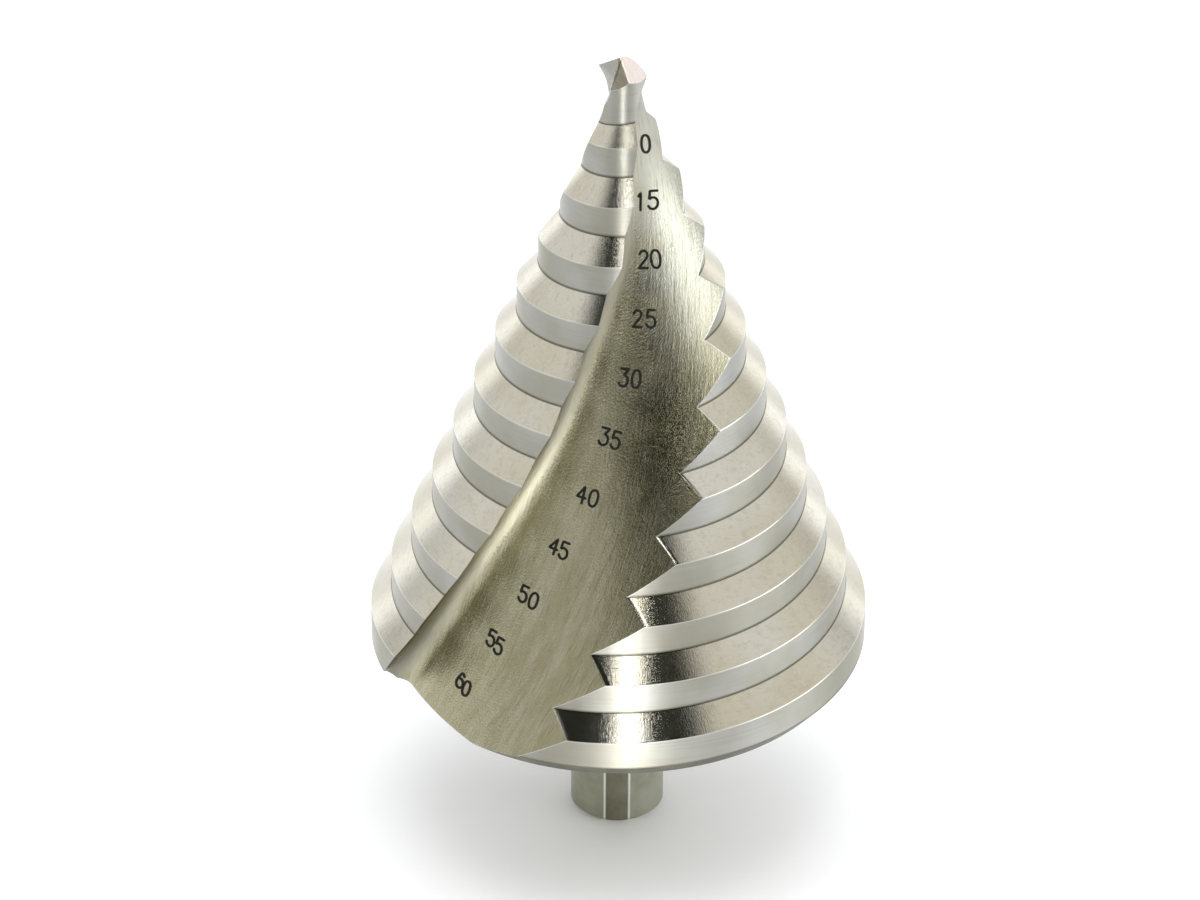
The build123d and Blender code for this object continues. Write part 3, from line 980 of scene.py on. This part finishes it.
mv, mf = [], []
for fig, cx, cy, ax, ay, dx, dy in MARKS:
    for line, closed in FIGURES[fig]:
        px = [(cx + (u - 0.5) * ax + (v - 0.5) * dx, cy + (u - 0.5) * ay + (v - 0.5) * dy) for u, v in line]
        px = resample(px, 0.8, closed)
        n_ = len(px)
        secs = []
        for k, (x0, y0) in enumerate(px):
            a = px[(k - 1) % n_] if (closed or k > 0) else px[k]
            b = px[(k + 1) % n_] if (closed or k < n_ - 1) else px[k]
            tx, ty = b[0] - a[0], b[1] - a[1]
            q = math.hypot(tx, ty)
            secs.append((x0, y0, tx / q, ty / q, STROKE))
        if not closed:                       # round ends
            first, last = secs[0], secs[-1]
            caps = (78, 55, 30)
            secs = [(first[0] - first[2] * STROKE * math.sin(math.radians(c)),
                     first[1] - first[3] * STROKE * math.sin(math.radians(c)), first[2], first[3],
                     STROKE * math.cos(math.radians(c))) for c in caps] + secs
            secs += [(last[0] + last[2] * STROKE * math.sin(math.radians(c)),
                      last[1] + last[3] * STROKE * math.sin(math.radians(c)), last[2], last[3],
                      STROKE * math.cos(math.radians(c))) for c in reversed(caps)]
        base = len(mv)
        ok = True
        for x0, y0, tx, ty, hw in secs:
            for sgn in (-1, 1):
                p, nn = on_steel(x0 - ty * hw * sgn, y0 + tx * hw * sgn)
                if p is None:
                    p, nn = on_steel(x0, y0)
                mv.append(tuple(p + nn * 0.018))
                mv.append(tuple(p - nn * 0.05))
        m_ = len(secs)
        for k in range(m_ if closed else m_ - 1):
            a, b = base + 4 * k, base + 4 * ((k + 1) % m_)
            # left top, left bottom, right top, right bottom
            mf += [(a, b, b + 2, a + 2), (a + 2, b + 2, b + 3, a + 3), (a + 3, b + 3, b + 1, a + 1),
                   (a + 1, b + 1, b, a)]
        if not closed:
            mf += [(base, base + 2, base + 3, base + 1),
                   (base + 4 * (m_ - 1) + 1, base + 4 * (m_ - 1) + 3, base + 4 * (m_ - 1) + 2, base + 4 * (m_ - 1))]
marks = build_mesh("size_marks", mv, mf, [mat_ink()], None, None, 40.0)
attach(marks, "root")

me = bpy.data.meshes.new("floor")
g = 6.0
me.from_pydata([(-g, -g, 0), (g, -g, 0), (g, g, 0), (-g, g, 0)], [], [(0, 1, 2, 3)])
floor = bpy.data.objects.new("floor", me)
scene.collection.objects.link(floor)
me.materials.append(mat_floor())


def area(name, where, target, size_x, size_y, power, colour=(1, 1, 1)):
    d = bpy.data.lights.new(name, "AREA")
    d.shape = "RECTANGLE"
    d.size, d.size_y = size_x, size_y
    d.energy = power
    d.color = colour
    o = bpy.data.objects.new(name, d)
    scene.collection.objects.link(o)
    o.location = where
    o.rotation_mode = "QUATERNION"
    o.rotation_quaternion = (Vector(target) - Vector(where)).to_track_quat("-Z", "Y")
    return o


def from_dir(az, el, dist, target=(0, 0, 0.05)):
    a, e = math.radians(az), math.radians(el)
    return Vector(target) + dist * Vector((math.sin(a) * math.cos(e), -math.cos(a) * math.cos(e), math.sin(e)))


strip = area("strip", from_dir(4.5, 54, 0.42, (0, -0.012, 0.060)), (0, -0.012, 0.060), 0.036, 0.34, 0.26)
strip.rotation_quaternion = strip.rotation_quaternion @ Matrix.Rotation(math.radians(-15), 3, "Z").to_quaternion()
# a low bar that brightens a narrow lane of the floor in front, which the lands mirror
area("lane", (0.006, -0.175, 0.014), (0.006, -0.175, 0.0), 0.008, 0.25, 0.17)

world = bpy.data.worlds.new("studio")
scene.world = world
world.use_nodes = True
nt = world.node_tree
nt.nodes.clear()
W = Nodes.__new__(Nodes)
W.nt = nt
tc = nt.nodes.new("ShaderNodeTexCoord")
x, y, z = W.sep(tc.outputs["Generated"])
az = W.math("MULTIPLY", W.math("ARCTAN2", x, W.math("MULTIPLY", y, -1.0)), 57.2958)
el = W.math("MULTIPLY", W.math("ARCSINE", z), 57.2958)


def patch(a0, a1, a2, a3, e0, e1, e2, e3):
    """1 inside a window of azimuth and elevation, with soft borders."""
    pa = W.math("MULTIPLY", W.smooth(az, a0, a1), W.math("SUBTRACT", 1.0, W.smooth(az, a2, a3)))
    pe = W.math("MULTIPLY", W.smooth(el, e0, e1), W.math("SUBTRACT", 1.0, W.smooth(el, e2, e3)))
    return W.math("MULTIPLY", pa, pe)


lean = W.math("ADD", az, W.math("MULTIPLY", W.math("SUBTRACT", el, 14.0), 2.2))
far = W.math("SUBTRACT", az, W.math("MULTIPLY", W.math("SUBTRACT", W.math("MINIMUM", el, 32.0), 16.0), 0.9))
dark = W.math("MULTIPLY", W.smooth(lean, -34, -18), W.math("SUBTRACT", 1.0, W.smooth(far, 22, 34)))
dark = W.math("MULTIPLY", dark, W.smooth(az, -60, -44))
dark = W.math("MULTIPLY", dark, W.math("MULTIPLY", W.smooth(el, 2, 10), W.math("SUBTRACT", 1.0, W.smooth(el, 60, 70))))
col = W.mix(W.smooth(el, 8, 24), (0.66, 0.66, 0.66), (1.05, 1.05, 1.05))
col = W.mix(W.smooth(W.math("ABSOLUTE", az), 122, 138), col, (1.75, 1.78, 1.85))
col = W.mix(dark, col, (0.020, 0.025, 0.019))
col = W.mix(patch(46, 66, 92, 106, -20, -10, 18, 26), col, (3.4, 3.5, 3.6))
col = W.mix(W.smooth(el, 66, 74), col, (2.8, 2.8, 2.8))
bg = nt.nodes.new("ShaderNodeBackground")
nt.links.new(col, bg.inputs["Color"])
bg.inputs["Strength"].default_value = 1.0
wo = nt.nodes.new("ShaderNodeOutputWorld")
nt.links.new(bg.outputs["Background"], wo.inputs["Surface"])

scene.view_settings.view_transform = "Standard"
